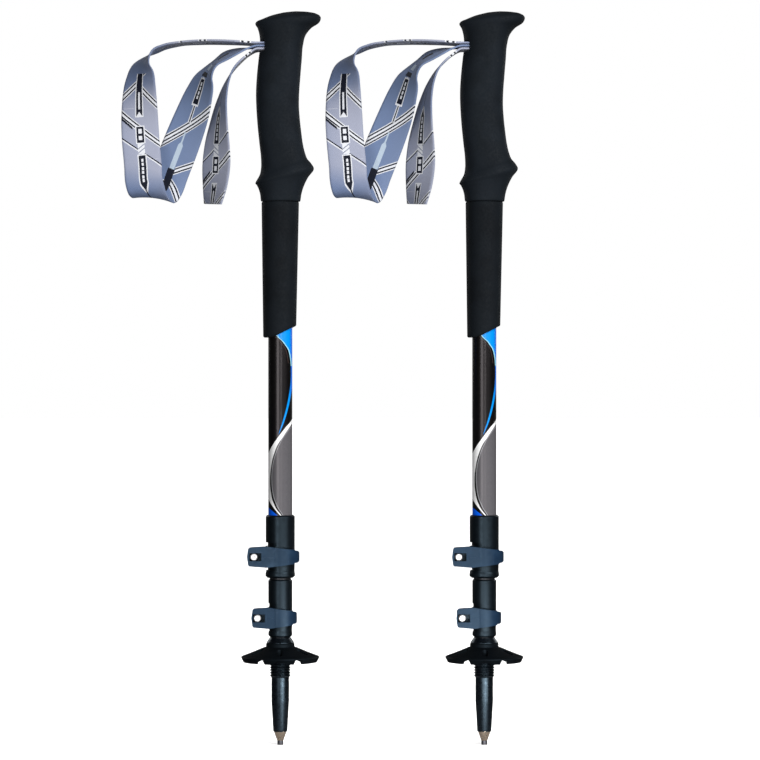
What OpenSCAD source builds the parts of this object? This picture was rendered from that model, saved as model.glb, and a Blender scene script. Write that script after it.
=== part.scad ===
// A pair of three-section trekking poles, folded down to their shortest length.
// Millimetres. +Z runs up the poles, the origin is the left pole's ground point,
// the right pole stands at +X, and the clamp levers face -Y.

/* [Pair] */
// Distance between the axes of the two poles
pole_gap = 153; // [150:1:300]

/* [Tubes] */
// Outer diameter of the upper tube
upper_d = 18; // [17.8:0.1:18.2]
// Outer diameter of the middle tube
middle_d = 16; // [15.7:0.1:16]
// Outer diameter of the lower tube
lower_d = 14; // [13.7:0.1:14]
// Wall of each tube
wall = 0.8; // [0.6:0.1:0.8]
// Height of the upper tube's top end
upper_top = 500; // [496:1:500]
// Height of the middle tube's top end
middle_top = 482; // [460:1:482]
// Height of the lower tube's top end
lower_top = 452; // [430:1:452]

/* [Tip] */
// Height of the carbide end that shows under its holder
carbide_h = 3.3; // [2.5:0.1:4]
// Radius of the carbide end
carbide_r = 2.2; // [1.9:0.1:2.3]
// Height of the ferrule's lower end
ferrule_bottom = 10; // [9:0.5:12]
// Height at which the ferrule's taper ends
ferrule_shoulder = 33.4; // [30:0.2:36]
// Radius of the ferrule's straight part
ferrule_r = 6.64; // [6.4:0.02:6.7]
// Height of the lowest thread ridge
thread_bottom = 51.2; // [50:0.1:52]
// Rise from one thread ridge to the next
thread_pitch = 2; // [1.8:0.1:2]
// Number of thread ridges
thread_turns = 7; // [5:1:7]

/* [Basket] */
// Diameter of the basket's rim
basket_d = 58.7; // [54:0.1:62]
// Height of the skirt's lower edge
basket_bottom = 62.2; // [61:0.1:63]
// Number of lobes in the skirt
lobes = 6; // [4:1:8]
// Width of each gap between two lobes, in degrees
lobe_gap = 10; // [6:1:14]

/* [Clamps] */
// Outer radius of the upper clamp's sleeve
upper_sleeve_r = 10.9; // [10.8:0.05:11]
// Outer radius of the lower clamp's sleeve
lower_sleeve_r = 9.0; // [8.95:0.05:9.1]
// Height of the upper lever's middle
upper_lever_z = 141.3; // [141:0.1:142]
// Height of the lower lever's middle
lower_lever_z = 95.6; // [95:0.1:96]
// Radius of the barrel pins
barrel_r = 2.4; // [2.3:0.05:2.4]
// Radius of the tension screws' shanks
screw_r = 1.6; // [1.4:0.05:1.6]
// Radius of the tension screws' heads
screw_head_r = 2.8; // [2.6:0.05:2.8]

/* [Grip] */
// Height of the joint between grip and extension
grip_bottom = 407.3; // [407:0.1:408]
// Height of the extension's lower end
extension_bottom = 304.9; // [300:0.1:306]
// Points round the grip
grip_sides = 24; // [20:4:32]

/* [Strap] */
// Width of the webbing
strap_w = 28; // [26:0.5:28]
// Width of the webbing where it is gathered into the slot
strap_slot_w = 22.6; // [20:0.2:22.6]
// Thickness of the webbing
strap_t = 1.5; // [1.2:0.1:1.5]

/* [Hidden] */
$fn = 64;

SIDES = ["left_", "right_"];
PIECES = [
    "grip", "grip_core", "grip_extension", "strap", "strap_anchor", "strap_wedge", "strap_pin",
    "upper_tube", "upper_tube_plug", "upper_clamp_body", "upper_clamp_lever",
    "upper_clamp_barrel_pin", "upper_clamp_screw", "upper_clamp_nut",
    "middle_tube", "middle_guide_bush", "lower_clamp_body", "lower_clamp_lever",
    "lower_clamp_barrel_pin", "lower_clamp_screw", "lower_clamp_nut",
    "lower_tube", "lower_guide_bush", "tip_ferrule", "tip_holder", "carbide_tip", "basket"
];
NODES = [for (side = SIDES) for (piece = PIECES) str(side, piece)];
node = "all";

upper_r = upper_d / 2;
middle_r = middle_d / 2;
lower_r = lower_d / 2;

seat = 0.05;     // radial gap round a piece that is glued or pressed in place
running = 0.05;  // radial gap of a piece that turns or slides in a close fit
slide_gap = 0.2; // radial gap round a sliding tube in the mouth of its clamp

// Tip
holder_shank_r = 4;
holder_shank_top = 30;
carbide_shank_r = 1.6;
carbide_shank_top = 11;
thread_root_r = 6.9;
thread_crest_r = 7.9;
thread_top = thread_bottom + thread_turns * thread_pitch;
ferrule_collar_z = 76.5;
ferrule_top = 80.5;
lower_bottom = 67;

// Clamps
upper_clamp_bottom = 125.3;
upper_clamp_top = 172.2;
upper_bottom = 131;
lower_clamp_bottom = 80.8;
lower_clamp_top = 124.2;
middle_bottom = 87;
slit = 1.5;
ear_y = 4.2;      // outer face of each ear
ear_z = 5.2;      // half height of the ears
pin_y = -8;       // the barrel pins lie in front of the ears
cam_r = 3.7;
pin_half = 6.2;
window_z = 3.0;   // half height of the lever's window
lever_wall = 3.6;
nut_flat = 2.75;
nut_h = 2.4;

upper_pin_x = -19.4;
lower_pin_x = -16.8;

// Grip head
core_r = 11.5;
head_x = [-9, 10];
head_y = 13.6;
head_z = [511, 534];
channel_x = 8;
channel_y = 11.8;
channel_z = [519.6, 531];
strap_pin_at = [3.5, 523.2];
strap_pin_r = 1.4;
slot_z = [519.4, 527.4];

// Each row of the grip is an oval: rear x, rear z, front x, front z, half width
GRIP = [
    [-14.5, 407.3, 15.1, 407.3, 14.2], [-15.0, 412.2, 15.7, 412.0, 14.5],
    [-16.2, 416.6, 17.4, 418.2, 15.4], [-17.6, 419.6, 20.8, 425.4, 16.8],
    [-18.7, 421.3, 25.4, 432.4, 18.2], [-17.4, 423.6, 23.2, 435.9, 17.4],
    [-15.4, 427.2, 20.4, 439.2, 16.0], [-14.4, 432.6, 18.4, 444.4, 14.8],
    [-14.5, 440.5, 16.9, 451.0, 14.0], [-15.6, 450.5, 15.8, 459.0, 13.6],
    [-16.9, 463.0, 14.7, 469.0, 13.6], [-17.9, 477.0, 14.0, 480.0, 13.9],
    [-18.2, 487.5, 14.2, 489.0, 14.4], [-17.6, 500.5, 15.1, 501.5, 15.2],
    [-16.3, 513.5, 16.1, 513.5, 16.2], [-15.1, 525.0, 17.1, 525.0, 17.0],
    [-15.7, 532.5, 19.2, 532.5, 17.2], [-17.0, 537.2, 23.2, 537.6, 17.2],
    [-18.7, 540.0, 30.3, 543.0, 17.4], [-18.8, 541.0, 30.7, 545.6, 17.3],
    [-14.8, 543.3, 28.4, 548.0, 15.0], [-8.0, 546.2, 22.0, 549.4, 10.0],
    [0.5, 548.8, 13.5, 550.0, 4.0]
];
grip_squareness = 2.3;

// Webbing stations: centre x, y, z, then the direction across the webbing, then its width.
// The loop leaves the slot on top, drops, rolls under and climbs back to the slot.
LOOP = [
    [-17.3, 0, 525.5, 0, -1, 0, strap_slot_w], [-28, 0, 526.2, 0, -1, 0, 25],
    [-42, 0, 526.8, 0, -1, 0, strap_w], [-60, 0, 526.8, 0, -1, 0, strap_w],
    [-76, 0, 525.6, 0.05, -1, 0, strap_w], [-88, -0.1, 522.9, 0.2, -0.97, 0.08, strap_w],
    [-96.5, -0.2, 518.6, 0.36, -0.9, 0.22, strap_w], [-102.8, -0.5, 511.0, 0.55, -0.78, 0.26, strap_w],
    [-104.9, -0.9, 498, 0.82, -0.56, 0.12, strap_w], [-105.4, -2.4, 476, 0.97, -0.24, 0.04, strap_w],
    [-104.4, -5.6, 455, 1, 0, 0.04, strap_w], [-102.4, -8.6, 434, 0.99, 0, 0.1, strap_w],
    [-101.3, -9.5, 420.9, 0.99, 0, 0.06, strap_w], [-99.9, -8.2, 416, 0.993, 0, -0.04, strap_w],
    [-98, -4.8, 412.3, 0.993, 0, -0.12, strap_w], [-95.4, 0, 410.7, 0.993, 0, -0.12, strap_w],
    [-92.6, 4.7, 411.6, 0.993, 0, -0.12, strap_w], [-89.6, 8.2, 414.8, 0.98, 0, -0.2, strap_w],
    [-87, 9.5, 419.3, 0.96, 0, -0.28, strap_w], [-83.6, 9.2, 428.5, 0.94, 0, -0.34, strap_w],
    [-76.3, 7, 446.8, 0.94, -0.1, -0.33, strap_w], [-66.4, 4.2, 472.5, 0.88, -0.4, -0.22, strap_w],
    [-60.4, 2.4, 490, 0.74, -0.65, -0.04, strap_w], [-55.8, 1.2, 502.4, 0.54, -0.82, 0.14, strap_w],
    [-49.6, 0.5, 510.4, 0.32, -0.93, -0.02, strap_w], [-41.5, 0, 516.2, 0.14, -0.94, -0.28, 27.5],
    [-32, 0, 520.1, 0.05, -0.97, -0.24, 26], [-24, 0, 522.2, 0, -0.99, -0.1, 24],
    [-17.3, 0, 523.3, 0, -1, 0, strap_slot_w]
];
// The tail hangs from the bottom of the slot and turns its face as it falls.
TAIL = [
    [-17.3, 0, 521.1, 0, -1, 0, strap_slot_w], [-23.6, 0, 517.6, 0, -1, -0.06, 24.5],
    [-29.2, 0, 512.9, 0, -1, -0.06, 26], [-35, 0, 506.4, 0.06, -1, -0.02, strap_w],
    [-40.3, 0, 495.8, 0.18, -0.98, 0.04, strap_w], [-43.6, 0, 484, 0.3, -0.95, 0.07, strap_w],
    [-46.2, 0, 466, 0.5, -0.87, 0.03, strap_w], [-47.4, 0, 450, 0.68, -0.73, 0, strap_w],
    [-47.9, 0, 436, 0.76, -0.65, 0, strap_w], [-48.9, 0, 420, 0.68, -0.73, 0, strap_w],
    [-50.6, 0, 405.4, 0.5, -0.87, 0, strap_w]
];
wrap_r = strap_pin_r + strap_t / 2 + 0.15;
// Inside the head the webbing runs in over the pin and back out under it.
ANCHOR = [
    [-14, 0, 525.5, 0, -1, 0, strap_slot_w], [-5, 0, 525.5, 0, -1, 0, strap_slot_w],
    for (a = [90 : -30 : -90])
        [strap_pin_at[0] + wrap_r * cos(a), 0, strap_pin_at[1] + wrap_r * sin(a), 0, -1, 0, strap_slot_w],
    [-5, 0, 520.95, 0, -1, 0, strap_slot_w], [-14, 0, 521.1, 0, -1, 0, strap_slot_w]
];
// The loop's other end is sewn to the underside of the upper run.
SEWN_END = [
    [-14, 0, 523.3, 0, -1, 0, strap_slot_w], [-8, 0, 523.5, 0, -1, 0, strap_slot_w],
    [-3, 0, 524.4, 0, -1, 0, strap_slot_w], [0, 0, 525.2, 0, -1, 0, strap_slot_w]
];

function unit(v) = v / norm(v);
function xyz(v, first) = [v[first], v[first + 1], v[first + 2]];
function sign_pow(v, p) = sign(v) * pow(abs(v), p);
function within(i, n) = max(0, min(n - 1, i));

// A point on the smooth curve through the rows of p, a fraction t past row i
function curve(p, i, t) =
    let (a = p[within(i - 1, len(p))], b = p[i], c = p[i + 1], d = p[within(i + 2, len(p))])
    0.5 * (2 * b + (c - a) * t + (2 * a - 5 * b + 4 * c - d) * t * t + (3 * b - a - 3 * c + d) * t * t * t);

// Side faces between successive rings of n points, with a cap at each end
function skin_faces(rings, n) = [
    for (r = [0 : rings - 2]) for (i = [0 : n - 1]) let (a = r * n + i, b = r * n + (i + 1) % n)
        each [[a, a + n, b], [b, a + n, b + n]],
    [for (i = [0 : n - 1]) i],
    [for (i = [n - 1 : -1 : 0]) (rings - 1) * n + i]
];

// One oval of the grip, in the plane that its rear and front points set
function grip_ring(row, n) = [for (i = [0 : n - 1])
    let (a = 360 * i / n, u = sign_pow(cos(a), 2 / grip_squareness), v = sign_pow(sin(a), 2 / grip_squareness))
    [(row[0] + row[2]) / 2 + u * (row[2] - row[0]) / 2, v * row[4], (row[1] + row[3]) / 2 + u * (row[3] - row[1]) / 2]
];

// Webbing through the given stations, as one closed solid
module webbing(stations, steps) {
    last = len(stations) - 2;
    path = [for (i = [0 : last]) for (k = [0 : steps - 1]) curve(stations, i, k / steps), curve(stations, last, 1)];
    n = len(path);
    points = [for (i = [0 : n - 1])
        let (
            c = xyz(path[i], 0),
            along = unit(xyz(path[min(i + 1, n - 1)], 0) - xyz(path[max(i - 1, 0)], 0)),
            raw = xyz(path[i], 3),
            across = unit(raw - (raw * along) * along) * path[i][6] / 2,
            out = cross(along, unit(across)) * strap_t / 2
        )
        each [c - across - out, c + across - out, c + across + out, c - across + out]
    ];
    polyhedron(points, skin_faces(n, 4), convexity = 8);
}

module tube(r, bottom, top) {
    translate([0, 0, bottom]) difference() {
        cylinder(h = top - bottom, r = r);
        translate([0, 0, -1]) cylinder(h = top - bottom + 2, r = r - wall);
    }
}

// A slot through the rear of a tube or sleeve, which lets a clamp squeeze it
module rear_slit(bottom, top, reach) {
    translate([-reach, -slit / 2, bottom]) cube([reach, slit, top - bottom]);
}

// ---- Tip ----

module carbide_tip() color("dimgray") difference() {
    union() {
        cylinder(h = carbide_h, r = carbide_r);
        cylinder(h = carbide_shank_top, r = carbide_shank_r);
    }
    translate([0, 0, -1.6]) sphere(r = 2.4);
}

module tip_holder() color("tan") difference() {
    union() {
        translate([0, 0, carbide_h])
            cylinder(h = ferrule_bottom - carbide_h, r1 = carbide_r + 0.2, r2 = 4.84);
        translate([0, 0, ferrule_bottom]) cylinder(h = holder_shank_top - ferrule_bottom, r = holder_shank_r);
    }
    translate([0, 0, carbide_h - 1])
        cylinder(h = carbide_shank_top - carbide_h + 1.2, r = carbide_shank_r + seat);
}

module tip_ferrule() color("#101317") difference() {
    rotate_extrude() polygon([
        [0, ferrule_bottom], [5.1, ferrule_bottom], [5.33, ferrule_bottom + 0.4],
        [ferrule_r, ferrule_shoulder], [ferrule_r, thread_bottom - 0.5], [thread_root_r, thread_bottom - 0.5],
        for (i = [0 : thread_turns - 1]) let (z = thread_bottom + i * thread_pitch)
            each [[thread_root_r, z], [thread_crest_r, z + 0.7], [thread_crest_r, z + 1.0], [thread_root_r, z + 1.7]],
        [thread_root_r, thread_top], [thread_crest_r, thread_top + 0.6],
        [thread_crest_r, ferrule_collar_z], [10.4, ferrule_collar_z],
        [10.4, ferrule_collar_z + 0.4], [7.8, ferrule_top], [0, ferrule_top]
    ]);
    translate([0, 0, ferrule_bottom - 1])
        cylinder(h = holder_shank_top - ferrule_bottom + 1.2, r = holder_shank_r + seat);
    translate([0, 0, lower_bottom]) cylinder(h = 20, r = lower_r + seat);
}

// ---- Basket ----

module basket() color("#15181b") {
    rim_r = basket_d / 2;
    hub_r = 10.7;
    difference() {
        rotate_extrude() polygon([
            [thread_crest_r + 2 * running, basket_bottom], [10.35, basket_bottom], [12.5, 66.5],
            [rim_r - 3.4, 63.8], [rim_r - 3.2, basket_bottom], [rim_r - 1.6, basket_bottom],
            [rim_r, 65.6], [rim_r - 0.3, 66.4], [24, 68.3], [19, 70.3], [12.6, 73.0], [hub_r, 73.6],
            [hub_r, 75.9], [hub_r - 0.4, 76.3], [thread_crest_r + 2 * running, 76.3]
        ]);
        for (i = [0 : lobes - 1]) rotate([0, 0, i * 360 / lobes]) lobe_cut(rim_r);
        for (a = [-90, 90]) rotate([0, 0, a]) translate([rim_r - 6, 0, basket_bottom - 1.2])
            rotate([0, 90, 0]) cylinder(h = 8, r = 4.6);
        for (i = [0 : lobes - 1]) rotate([0, 0, (i + 0.5) * 360 / lobes]) vent();
    }
}

// A gap in the skirt, wider at its foot
module lobe_cut(rim_r) {
    half = rim_r * tan(lobe_gap / 2);
    translate([rim_r - 8, 0, 0]) rotate([90, 0, 90]) linear_extrude(height = 10) polygon([
        [-half - 1, basket_bottom - 1], [half + 1, basket_bottom - 1], [half, 65.4], [-half, 65.4]
    ]);
}

// An oblong hole that lets mud and snow through the disc
module vent() {
    for (x = [16.5, 22]) translate([x, 0, 55]) cylinder(h = 20, r = 2.2);
    translate([16.5, -2.2, 55]) cube([5.5, 4.4, 20]);
}

// ---- Clamps ----

// Split sleeve with a pair of ears; the parts hang on the sleeve's own height z = lever_z
module clamp_body(sleeve_r, tube_r, inner_r, bottom, top, tube_end, lever_z, pin_x, lip_r) {
    slot_depth = min(1.5, sleeve_r - tube_r - 0.3);
    difference() {
        union() {
            rotate_extrude() polygon([
                [inner_r + slide_gap, bottom], [lip_r - 1.4, bottom], [lip_r, bottom + 1.4],
                [lip_r, bottom + 3], [sleeve_r - 0.2, bottom + 5.2], [sleeve_r, bottom + 9],
                [sleeve_r, top - 1], [sleeve_r - 0.9, top], [tube_r + seat, top],
                [tube_r + seat, tube_end], [inner_r + slide_gap, tube_end]
            ]);
            difference() {
                translate([pin_x - 3.9, -ear_y, lever_z - ear_z])
                    cube([-pin_x + 3.9, 2 * ear_y, 2 * ear_z]);
                cylinder(h = top, r = tube_r + 0.4);
                for (s = [-1, 1]) translate([pin_x - 0.6, s * ear_y, 0])
                    rotate([0, 0, 45 + 90 * (1 - s) / 2]) translate([-10, 0, lever_z - 20]) cube([20, 20, 40]);
            }
        }
        rear_slit(bottom - 1, lever_z + 15, 40);
        for (z = [lever_z - 9, lever_z + 9.2]) translate([0, 0, z - 1.4])
            sleeve_notch(sleeve_r - slot_depth, sleeve_r + 3);
        translate([pin_x, 20, lever_z]) rotate([90, 0, 0]) cylinder(h = 40, r = screw_r + 0.2);
        translate([pin_x, ear_y - nut_h + 0.8, lever_z]) rotate([-90, 0, 0]) nut_shape(nut_h + 4, 0.15);
    }
}

// A horizontal notch round the rear of the sleeve, which frees the clamping band
module sleeve_notch(inner, outer) {
    rotate([0, 0, 103]) rotate_extrude(angle = 154) translate([inner, 0]) square([outer - inner, 2.8]);
}

module nut_shape(h, grow) cylinder(h = h, r = (nut_flat + grow) / cos(30), $fn = 6);

module clamp_nut(lever_z, pin_x) color("silver") difference() {
    translate([pin_x, ear_y - nut_h + 0.8, lever_z]) rotate([-90, 0, 0]) nut_shape(nut_h, 0);
    translate([pin_x, 10, lever_z]) rotate([90, 0, 0]) cylinder(h = 20, r = screw_r + running);
}

module clamp_barrel_pin(lever_z, pin_x) color("silver") difference() {
    translate([pin_x, pin_y, lever_z - pin_half]) cylinder(h = 2 * pin_half, r = barrel_r);
    translate([pin_x, 0, lever_z]) rotate([90, 0, 0]) cylinder(h = 20, r = screw_r + running);
    translate([pin_x - 5, pin_y - 10 - 2.1, lever_z - window_z]) cube([10, 10, 2 * window_z]);
}

module clamp_screw(lever_z, pin_x) color("silver") translate([pin_x, 0, lever_z]) rotate([90, 0, 0]) {
    difference() {
        union() {
            translate([0, 0, -ear_y - 1.4]) cylinder(h = ear_y + 1.4 - pin_y + 2.3, r = screw_r);
            translate([0, 0, -pin_y + 2.15]) cylinder(h = 1.6, r = screw_head_r);
            translate([0, 0, -pin_y + 3.75]) cylinder(h = 0.8, r1 = screw_head_r, r2 = screw_head_r - 0.7);
        }
        translate([0, 0, -pin_y + 3.25]) cylinder(h = 3, r = 1.25, $fn = 6);
    }
}

// Front outline of a lever as [x, z] from its middle height: tail end, tallest point, shoulder, tab
function lever_front(end_x, tall_x, shoulder_x, tab_x) = [
    [end_x, 0], [end_x + 0.8, 6.0], [end_x + 1.7, 7.0], [tall_x, 7.9], [shoulder_x, 5.3],
    [shoulder_x + 0.4, 4.6], [tab_x - 1.4, 4.4], [tab_x - 0.2, 3.4], [tab_x, 2.4]
];

module lever_outline(end_x, tall_x, shoulder_x, tab_x) {
    top = lever_front(end_x, tall_x, shoulder_x, tab_x);
    bottom = [for (i = [len(top) - 1 : -1 : 1]) [top[i][0], -top[i][1]]];
    rotate([90, 0, 0]) translate([0, 0, -10]) linear_extrude(height = 40) polygon(concat(top, bottom));
}

// Lever with a cam end round the barrel pin, a flat facet up to the crease, then a curved wrap
module clamp_lever(sleeve_r, lever_z, pin_x, end_x, tall_x, shoulder_x, tab_x) {
    inner_r = sleeve_r + 0.45;
    outer_r = inner_r + lever_wall;
    crease = [-3.9, -outer_r + 0.2];
    tail = [end_x, pin_y - 4.2];
    slope = atan2(crease[1] - tail[1], crease[0] - tail[0]);
    color("#3a5070") translate([0, 0, lever_z]) difference() {
        intersection() {
            lever_outline(end_x, tall_x, shoulder_x, tab_x);
            union() {
                translate([0, 0, -10]) linear_extrude(height = 20) polygon([
                    tail, crease, [crease[0], -inner_r + 2], [-sleeve_r * 0.7, pin_y + 1.2],
                    [pin_x + 2, pin_y + 1.8], [pin_x, pin_y], [pin_x - 3.03, pin_y - 2.12]
                ]);
                translate([pin_x, pin_y, -10]) cylinder(h = 20, r = cam_r);
                translate([0, 0, -10]) rotate([0, 0, -112])
                    rotate_extrude(angle = 98) translate([inner_r - 1, 0]) square([lever_wall + 1, 20]);
                translate([tail[0], tail[1], 0]) rotate([0, 0, slope]) lever_relief(pin_x, end_x, crease[0]);
            }
        }
        translate([0, 0, -20]) cylinder(h = 40, r = inner_r);
        translate([pin_x, pin_y, -20]) cylinder(h = 40, r = barrel_r + running);
        lever_window(pin_x);
    }
}

// Raised rim round the window and the small rib beside it, in the facet's own plane
module lever_relief(pin_x, end_x, crease_x) {
    right = pin_x - end_x + 7;
    translate([right - 1.2, -0.3, -window_z - 0.9]) cube([1.2, 2, 2 * window_z + 1.8]);
    for (s = [-1, 1]) translate([2.2, -0.3, s * (window_z + 0.45) - 0.45]) cube([right - 2.2, 2, 0.9]);
    translate([right + 1.2, -0.35, -0.9]) cube([crease_x - end_x - right - 1.8, 2, 0.9]);
}

// Room for the screw: its head swings round the pin, its shank passes the cam's rear
module lever_window(pin_x) {
    reach = norm([screw_head_r, -2.15 - 2.4]) + 0.35;
    translate([pin_x, pin_y, -window_z]) intersection() {
        cylinder(h = 2 * window_z, r = reach);
        translate([-3.3, -20, -1]) cube([20, 40, 20]);
    }
    translate([pin_x - 3.3, pin_y - 20, -window_z]) cube([3.3 + reach, 20, 2 * window_z]);
    translate([pin_x - 12, pin_y - 2.3, -screw_r - 0.25]) cube([12 + screw_r + 0.25, 20, 2 * screw_r + 0.5]);
    translate([pin_x - 3.3, pin_y, -window_z]) cube([3.3 + reach, 10, 2 * window_z]);
}

// ---- Tubes and guides ----

module upper_tube() color("#0c0d10") difference() {
    tube(upper_r, upper_bottom, upper_top);
    rear_slit(upper_bottom - 1, upper_lever_z + 12, 20);
}

module middle_tube() color("#16191d") difference() {
    tube(middle_r, middle_bottom, middle_top);
    rear_slit(middle_bottom - 1, lower_lever_z + 12, 20);
}

module lower_tube() color("#16191d") tube(lower_r, lower_bottom, lower_top);

// Plug pressed into a tube's inner end, with a flange that guides it in the next tube
module guide_bush(tube_r, bore_r, top) color("#20242a") difference() {
    union() {
        translate([0, 0, top - 12]) cylinder(h = 12, r = tube_r - wall - seat);
        translate([0, 0, top]) cylinder(h = 5, r = bore_r - running);
        translate([0, 0, top + 5]) cylinder(h = 1, r1 = bore_r - running, r2 = bore_r - running - 0.8);
    }
    translate([0, 0, top - 13]) cylinder(h = 20, r = tube_r - wall - 2.4);
}

module upper_tube_plug() color("#20242a") {
    translate([0, 0, upper_top - 8]) cylinder(h = 8, r = upper_r - wall - seat);
    translate([0, 0, upper_top]) cylinder(h = 3, r = upper_r);
}

// ---- Grip ----

module grip() color("#1c2228") difference() {
    polyhedron([for (row = GRIP) each grip_ring(row, grip_sides)], skin_faces(len(GRIP), grip_sides));
    translate([0, 0, grip_bottom - 1]) cylinder(h = head_z[0] - grip_bottom + 1, r = core_r + seat);
    translate([head_x[0] - seat, -head_y - seat, head_z[0] - 0.1])
        cube([head_x[1] - head_x[0] + 2 * seat, 2 * (head_y + seat), head_z[1] - head_z[0] + 0.15]);
    translate([-30, -channel_y - 0.2, slot_z[0]]) cube([30, 2 * channel_y + 0.4, slot_z[1] - slot_z[0]]);
}

module grip_core() color("#2a2d30") difference() {
    union() {
        translate([0, 0, grip_bottom]) cylinder(h = head_z[0] - grip_bottom, r = core_r);
        translate([head_x[0], -head_y, head_z[0]])
            cube([head_x[1] - head_x[0], 2 * head_y, head_z[1] - head_z[0]]);
    }
    translate([0, 0, grip_bottom - 1]) cylinder(h = upper_top + 3.1 - grip_bottom + 1, r = upper_r + seat);
    translate([-20, -channel_y, channel_z[0]]) cube([20 + channel_x, 2 * channel_y, channel_z[1] - channel_z[0]]);
    strap_pin_shape(strap_pin_r + seat);
}

module strap_pin_shape(r) {
    translate([strap_pin_at[0], head_y - 0.4, strap_pin_at[1]]) rotate([90, 0, 0])
        cylinder(h = 2 * head_y - 0.8, r = r);
}

module strap_pin() color("silver") strap_pin_shape(strap_pin_r);

module strap_wedge() color("#2a2d30") translate([0, channel_y - 0.4, 0]) rotate([90, 0, 0])
    linear_extrude(height = 2 * channel_y - 0.8) polygon([
        [-8.5, 526.6], [7, 526.6], [7, 529.2], [-7.5, 530.9], [-8.5, 530.2]
    ]);

module strap_anchor() color("slategray") {
    webbing(ANCHOR, 2);
    webbing(SEWN_END, 2);
}

module strap() color("slategray") {
    webbing(LOOP, 3);
    webbing(TAIL, 3);
}

// Foam sleeve under the grip, cut low at the rear and rising to the front
module grip_extension() color("#1c2228") difference() {
    translate([0, 0, extension_bottom]) cylinder(h = grip_bottom - extension_bottom, r1 = 12.2, r2 = 14);
    translate([0, 0, extension_bottom - 1]) cylinder(h = 120, r = upper_r + seat);
    translate([0, 20, 0]) rotate([90, 0, 0]) linear_extrude(height = 40) polygon([
        [-20, extension_bottom - 5], [-20, extension_bottom], [-9, extension_bottom + 0.6],
        [-2.5, extension_bottom + 2.3], [4, extension_bottom + 4.8], [12, extension_bottom + 8.4],
        [20, extension_bottom + 12], [20, extension_bottom - 5]
    ]);
}

function wanted(side, piece) = node == "all" || node == str(SIDES[side], piece);

for (side = [0, 1]) translate([side * pole_gap, 0, 0]) {
    if (wanted(side, "grip")) grip();
    if (wanted(side, "grip_core")) grip_core();
    if (wanted(side, "grip_extension")) grip_extension();
    if (wanted(side, "strap")) strap();
    if (wanted(side, "strap_anchor")) strap_anchor();
    if (wanted(side, "strap_wedge")) strap_wedge();
    if (wanted(side, "strap_pin")) strap_pin();
    if (wanted(side, "upper_tube")) upper_tube();
    if (wanted(side, "upper_tube_plug")) upper_tube_plug();
    if (wanted(side, "upper_clamp_body")) color("#27303a")
        clamp_body(upper_sleeve_r, upper_r, middle_r, upper_clamp_bottom, upper_clamp_top,
            upper_bottom, upper_lever_z, upper_pin_x, upper_sleeve_r + 0.2);
    if (wanted(side, "upper_clamp_lever"))
        clamp_lever(upper_sleeve_r, upper_lever_z, upper_pin_x, -24.5, -10, 10.8, 14.6);
    if (wanted(side, "upper_clamp_barrel_pin")) clamp_barrel_pin(upper_lever_z, upper_pin_x);
    if (wanted(side, "upper_clamp_screw")) clamp_screw(upper_lever_z, upper_pin_x);
    if (wanted(side, "upper_clamp_nut")) clamp_nut(upper_lever_z, upper_pin_x);
    if (wanted(side, "middle_tube")) middle_tube();
    if (wanted(side, "middle_guide_bush")) guide_bush(middle_r, upper_r - wall, middle_top);
    if (wanted(side, "lower_clamp_body")) color("#27303a")
        clamp_body(lower_sleeve_r, middle_r, lower_r, lower_clamp_bottom, lower_clamp_top,
            middle_bottom, lower_lever_z, lower_pin_x, lower_sleeve_r);
    if (wanted(side, "lower_clamp_lever"))
        clamp_lever(lower_sleeve_r, lower_lever_z, lower_pin_x, -21.3, -8.6, 9.4, 13.1);
    if (wanted(side, "lower_clamp_barrel_pin")) clamp_barrel_pin(lower_lever_z, lower_pin_x);
    if (wanted(side, "lower_clamp_screw")) clamp_screw(lower_lever_z, lower_pin_x);
    if (wanted(side, "lower_clamp_nut")) clamp_nut(lower_lever_z, lower_pin_x);
    if (wanted(side, "lower_tube")) lower_tube();
    if (wanted(side, "lower_guide_bush")) guide_bush(lower_r, middle_r - wall, lower_top);
    if (wanted(side, "tip_ferrule")) tip_ferrule();
    if (wanted(side, "tip_holder")) tip_holder();
    if (wanted(side, "carbide_tip")) carbide_tip();
    if (wanted(side, "basket")) basket();
}
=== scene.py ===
"""Looks of a pair of trekking poles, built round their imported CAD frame.

Lengths in the tables are millimetres about a pole's own axis, with +Z up the pole and the levers
facing -Y. Every piece is made about that axis and then moved to its pole, so both poles share
their materials.
"""

import math

import bmesh
import bpy
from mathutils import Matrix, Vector


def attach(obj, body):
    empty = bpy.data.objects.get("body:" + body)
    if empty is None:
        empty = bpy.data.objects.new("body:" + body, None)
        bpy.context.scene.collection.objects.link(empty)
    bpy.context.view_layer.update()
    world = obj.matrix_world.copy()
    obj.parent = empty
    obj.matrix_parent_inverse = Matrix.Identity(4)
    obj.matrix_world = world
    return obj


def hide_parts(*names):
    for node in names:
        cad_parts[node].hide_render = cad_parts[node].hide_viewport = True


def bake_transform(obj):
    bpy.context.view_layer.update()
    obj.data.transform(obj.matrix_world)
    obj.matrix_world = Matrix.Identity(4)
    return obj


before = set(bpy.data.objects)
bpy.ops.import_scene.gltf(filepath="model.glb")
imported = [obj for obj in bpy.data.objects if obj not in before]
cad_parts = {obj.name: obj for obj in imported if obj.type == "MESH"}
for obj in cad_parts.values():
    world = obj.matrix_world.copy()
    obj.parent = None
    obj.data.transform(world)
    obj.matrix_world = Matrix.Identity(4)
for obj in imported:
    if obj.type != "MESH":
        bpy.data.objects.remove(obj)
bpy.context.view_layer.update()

MM = 0.001
POLES = {"left": 0.0, "right": 153.0}

# ---- Shapes that the frame's own solids also follow ----

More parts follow.
